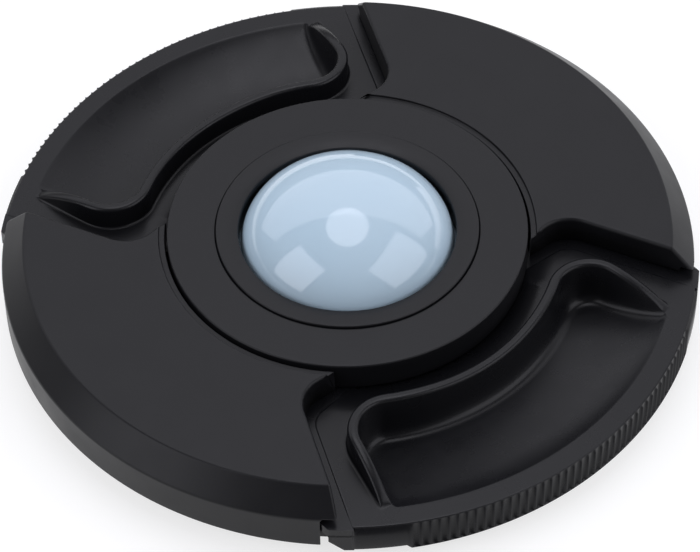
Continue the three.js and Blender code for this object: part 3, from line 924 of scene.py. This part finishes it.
def make_spring(name, sx, sy):
    """A round wire coil between the fixed rib and the lever's tab."""
    steps = SPRING_TURNS * 24
    sides = 8
    points = []
    for i in range(steps + 1):
        share = i / steps
        angle = 2 * pi * SPRING_TURNS * share
        x = SPRING_START + (SPRING_END - SPRING_START) * share
        for k in range(sides):
            around = 2 * pi * k / sides
            radius = COIL_RADIUS + WIRE_RADIUS * cos(around)
            points.append((
                sx * (x + WIRE_RADIUS * sin(around)),
                sy * SPRING_Y + sx * radius * cos(angle),
                SPRING_Z + radius * sin(angle),
            ))
    faces = []
    for i in range(steps):
        bridge(faces, i * sides, (i + 1) * sides, sides)
    faces.append(list(range(sides)))
    faces.append([steps * sides + k for k in range(sides)][::-1])
    coil = from_faces(name, points, faces)
    joint = "pinch_right" if sx > 0 else "pinch_left"
    length = SPRING_END - SPRING_START
    anchor = (sx * (SPRING_START - WIRE_RADIUS) * MM, sy * SPRING_Y * MM, SPRING_Z * MM)
    return coil, joint, anchor, (length - TRAVEL) / length


CORNERS = [
    ("right_upper", 1, 1),
    ("right_lower", 1, -1),
    ("left_upper", -1, 1),
    ("left_lower", -1, -1),
]
for place, sx, sy in CORNERS:
    coil, joint, anchor, keep = make_spring("coil_" + place, sx, sy)
    finish_piece(coil, steel, "cap_body", "spring_steel", "spring_" + place)
    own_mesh(coil)

# ---- CAD pieces that stay ---------------------------------------------------------------

KEPT = {
    "back_plate": back_black,
    "rear_retaining_ring": back_black,
    "rear_diffuser": milky_white,
    "dome_washer": washer_rubber,
    "colour_filter": filter_blue,
}
for name, material in KEPT.items():
    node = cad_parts[name]
    for slot in node.material_slots:
        slot.material = material
for place, _, _ in CORNERS:
    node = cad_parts["screw_" + place]
    for slot in node.material_slots:
        slot.material = steel

# ---- floor, light and camera ------------------------------------------------------------

SIGHT = radians(-40.0)
TOWARDS = Vector((cos(SIGHT), sin(SIGHT), 0.0))
RIGHT = Vector((-sin(SIGHT), cos(SIGHT), 0.0))
UP = Vector((0.0, 0.0, 1.0))


def make_floor():
    """A plain white table that glows a little, as a light table does."""
    size = 4000.0
    corners = [(-size, -size), (size, -size), (size, size), (-size, size)]
    floor = prism("floor", corners, -20.0, -0.02)
    made = Nodes("floor_white")
    patches = made.ramp(made.noise(2.0, 2.0), 0.0, 1.0)
    tone = made.mix(patches, (0.37, 0.37, 0.37), (0.39, 0.39, 0.39))
    made.link(tone, made.shader.inputs["Base Color"])
    made.shader.inputs["Roughness"].default_value = 0.9
    made.shader.inputs["Specular IOR Level"].default_value = 0.0
    made.shader.inputs["Emission Color"].default_value = (1.0, 1.0, 1.0, 1.0)
    made.shader.inputs["Emission Strength"].default_value = 0.70
    floor.data.materials.append(made.material)


def add_softbox(name, where, width, height, power):
    """A rectangular, slightly cool area light that faces the object."""
    light = bpy.data.lights.new(name, "AREA")
    light.shape = "RECTANGLE"
    light.size = width
    light.size_y = height
    light.energy = power
    light.color = (0.93, 0.93, 1.0)
    box = bpy.data.objects.new(name, light)
    box.location = where
    box.rotation_euler = where.to_track_quat("Z", "Y").to_euler()
    bpy.context.scene.collection.objects.link(box)
    return box


def make_camera():
    """A long lens that looks down on the cap from the front."""
    elevation = radians(48.64)
    distance = 424.0 * MM
    roll = radians(-1.29)
    aim_right = radians(0.027)
    aim_down = radians(0.075)
    centre = Vector((0, 0, RIM * MM))
    place = centre + distance * (cos(elevation) * TOWARDS + sin(elevation) * UP)
    ahead = (centre - place).normalized()
    up = RIGHT.cross(ahead)
    right = cos(roll) * RIGHT + sin(roll) * up
    up = right.cross(ahead)
    ahead = (ahead + tan(aim_right) * right - tan(aim_down) * up).normalized()
    right = ahead.cross(up).normalized()
    up = right.cross(ahead)
    data = bpy.data.cameras.new("camera")
    data.sensor_width = 36.0
    data.lens = 187.05
    data.clip_start = 0.01
    camera = bpy.data.objects.new("camera", data)
    turn = Matrix((right, up, -ahead)).transposed()
    camera.matrix_world = Matrix.Translation(place) @ turn.to_4x4()
    bpy.context.scene.collection.objects.link(camera)
    bpy.context.scene.camera = camera


make_floor()
make_camera()
add_softbox("softbox_right", 0.72 * (0.68 * RIGHT + 0.26 * TOWARDS + 0.56 * UP), 0.60, 0.56, 1.9)
add_softbox("softbox_left", 0.72 * (-0.70 * RIGHT + 0.36 * TOWARDS + 0.52 * UP), 0.44, 0.60, 1.8)
add_softbox("horizon_right", 0.95 * (0.80 * RIGHT - 0.58 * TOWARDS + 0.08 * UP), 0.8, 0.12, 0.4)
add_softbox("panel_back", 1.35 * (-0.72 * TOWARDS + 0.69 * UP), 4.6, 1.15, 20.0)
overhead = add_softbox("overhead", 0.9 * UP - 0.19 * TOWARDS, 0.46, 0.58, 1.8)
overhead.data.shape = "ELLIPSE"

world = bpy.data.worlds.new("studio")
world.use_nodes = True
world.node_tree.nodes["Background"].inputs["Color"].default_value = (0.5, 0.5, 0.5, 1.0)
world.node_tree.nodes["Background"].inputs["Strength"].default_value = 0.20
bpy.context.scene.world = world
bpy.context.scene.view_settings.view_transform = "Standard"
